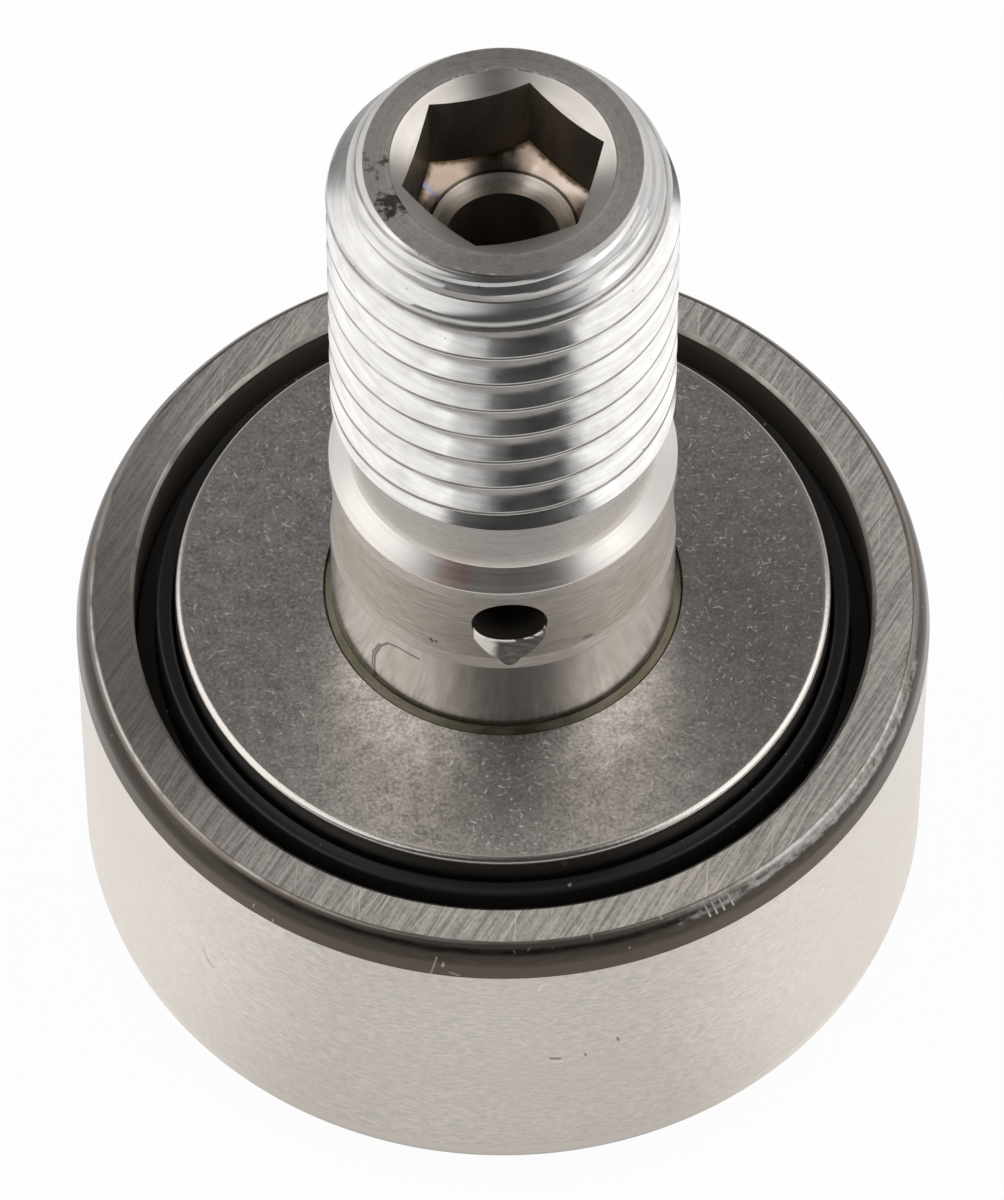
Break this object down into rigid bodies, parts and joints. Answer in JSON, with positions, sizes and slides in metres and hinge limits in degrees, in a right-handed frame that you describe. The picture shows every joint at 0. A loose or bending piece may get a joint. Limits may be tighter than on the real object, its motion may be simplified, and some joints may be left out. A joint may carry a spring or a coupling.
{
  "type": "cam follower",
  "caption": "Stud-type cam follower: a thick steel ring on caged needle rollers turns on a threaded stud with hex sockets, a grease bore, a pressed side washer and lip seals.",
  "frame": {"origin": "centre of the head face, at the foot of the stud's axis", "axes": "+Z along the stud from the head to the threaded end; the shank's grease hole faces -Y"},
  "size_m": [0.03, 0.03, 0.04],
  "materials": {
    "stud_steel": "turned and polished",
    "washer_steel": "tumbled, matte",
    "ring_steel": "ground tread and faces",
    "seal_plastic": "glossy black",
    "cage_plastic": "matte",
    "needle_steel": "lapped"
  },
  "bodies": {
    "stud": {"roller_stud": "stud_steel", "side_washer": "washer_steel"},
    "ring": {"outer_ring": "ring_steel", "stud_seal": "seal_plastic", "head_seal": "seal_plastic"},
    "cage": {"needle_cage": "cage_plastic"},
    "needle_01": {"needle_01": "needle_steel"},
    "needle_02": {"needle_02": "needle_steel"},
    "needle_03": {"needle_03": "needle_steel"},
    "needle_04": {"needle_04": "needle_steel"},
    "needle_05": {"needle_05": "needle_steel"},
    "needle_06": {"needle_06": "needle_steel"},
    "needle_07": {"needle_07": "needle_steel"},
    "needle_08": {"needle_08": "needle_steel"},
    "needle_09": {"needle_09": "needle_steel"},
    "needle_10": {"needle_10": "needle_steel"},
    "needle_11": {"needle_11": "needle_steel"},
    "needle_12": {"needle_12": "needle_steel"},
    "needle_13": {"needle_13": "needle_steel"},
    "needle_14": {"needle_14": "needle_steel"},
    "needle_15": {"needle_15": "needle_steel"},
    "needle_16": {"needle_16": "needle_steel"}
  },
  "joints": [
    {"name": "ring_spin", "type": "hinge", "parent": "stud", "child": "ring", "pos_m": [0, 0, 0.0074], "axis": [0, 0, 1], "continuous": true},
    {"name": "cage_spin", "type": "hinge", "parent": "stud", "child": "cage", "pos_m": [0, 0, 0.0074], "axis": [0, 0, 1], "continuous": true},
    {"name": "needle_01_spin", "type": "hinge", "parent": "cage", "child": "needle_01", "pos_m": [0.00877, 0, 0.0074], "axis": [0, 0, 1], "continuous": true},
    {"name": "needle_02_spin", "type": "hinge", "parent": "cage", "child": "needle_02", "pos_m": [0.0081, 0.00336, 0.0074], "axis": [0, 0, 1], "continuous": true},
    {"name": "needle_03_spin", "type": "hinge", "parent": "cage", "child": "needle_03", "pos_m": [0.0062, 0.0062, 0.0074], "axis": [0, 0, 1], "continuous": true},
    {"name": "needle_04_spin", "type": "hinge", "parent": "cage", "child": "needle_04", "pos_m": [0.00336, 0.0081, 0.0074], "axis": [0, 0, 1], "continuous": true},
    {"name": "needle_05_spin", "type": "hinge", "parent": "cage", "child": "needle_05", "pos_m": [0, 0.00877, 0.0074], "axis": [0, 0, 1], "continuous": true},
    {"name": "needle_06_spin", "type": "hinge", "parent": "cage", "child": "needle_06", "pos_m": [-0.00336, 0.0081, 0.0074], "axis": [0, 0, 1], "continuous": true},
    {"name": "needle_07_spin", "type": "hinge", "parent": "cage", "child": "needle_07", "pos_m": [-0.0062, 0.0062, 0.0074], "axis": [0, 0, 1], "continuous": true},
    {"name": "needle_08_spin", "type": "hinge", "parent": "cage", "child": "needle_08", "pos_m": [-0.0081, 0.00336, 0.0074], "axis": [0, 0, 1], "continuous": true},
    {"name": "needle_09_spin", "type": "hinge", "parent": "cage", "child": "needle_09", "pos_m": [-0.00877, 0, 0.0074], "axis": [0, 0, 1], "continuous": true},
    {"name": "needle_10_spin", "type": "hinge", "parent": "cage", "child": "needle_10", "pos_m": [-0.0081, -0.00336, 0.0074], "axis": [0, 0, 1], "continuous": true},
    {"name": "needle_11_spin", "type": "hinge", "parent": "cage", "child": "needle_11", "pos_m": [-0.0062, -0.0062, 0.0074], "axis": [0, 0, 1], "continuous": true},
    {"name": "needle_12_spin", "type": "hinge", "parent": "cage", "child": "needle_12", "pos_m": [-0.00336, -0.0081, 0.0074], "axis": [0, 0, 1], "continuous": true},
    {"name": "needle_13_spin", "type": "hinge", "parent": "cage", "child": "needle_13", "pos_m": [0, -0.00877, 0.0074], "axis": [0, 0, 1], "continuous": true},
    {"name": "needle_14_spin", "type": "hinge", "parent": "cage", "child": "needle_14", "pos_m": [0.00336, -0.0081, 0.0074], "axis": [0, 0, 1], "continuous": true},
    {"name": "needle_15_spin", "type": "hinge", "parent": "cage", "child": "needle_15", "pos_m": [0.0062, -0.0062, 0.0074], "axis": [0, 0, 1], "continuous": true},
    {"name": "needle_16_spin", "type": "hinge", "parent": "cage", "child": "needle_16", "pos_m": [0.0081, -0.00336, 0.0074], "axis": [0, 0, 1], "continuous": true}
  ],
  "couplings": [
    {"joint": "cage_spin", "follows": "ring_spin", "ratio": 0.57127},
    {"joint": "needle_01_spin", "follows": "ring_spin", "ratio": 3.4367},
    {"joint": "needle_02_spin", "follows": "ring_spin", "ratio": 3.4367},
    {"joint": "needle_03_spin", "follows": "ring_spin", "ratio": 3.4367},
    {"joint": "needle_04_spin", "follows": "ring_spin", "ratio": 3.4367},
    {"joint": "needle_05_spin", "follows": "ring_spin", "ratio": 3.4367},
    {"joint": "needle_06_spin", "follows": "ring_spin", "ratio": 3.4367},
    {"joint": "needle_07_spin", "follows": "ring_spin", "ratio": 3.4367},
    {"joint": "needle_08_spin", "follows": "ring_spin", "ratio": 3.4367},
    {"joint": "needle_09_spin", "follows": "ring_spin", "ratio": 3.4367},
    {"joint": "needle_10_spin", "follows": "ring_spin", "ratio": 3.4367},
    {"joint": "needle_11_spin", "follows": "ring_spin", "ratio": 3.4367},
    {"joint": "needle_12_spin", "follows": "ring_spin", "ratio": 3.4367},
    {"joint": "needle_13_spin", "follows": "ring_spin", "ratio": 3.4367},
    {"joint": "needle_14_spin", "follows": "ring_spin", "ratio": 3.4367},
    {"joint": "needle_15_spin", "follows": "ring_spin", "ratio": 3.4367},
    {"joint": "needle_16_spin", "follows": "ring_spin", "ratio": 3.4367}
  ]
}
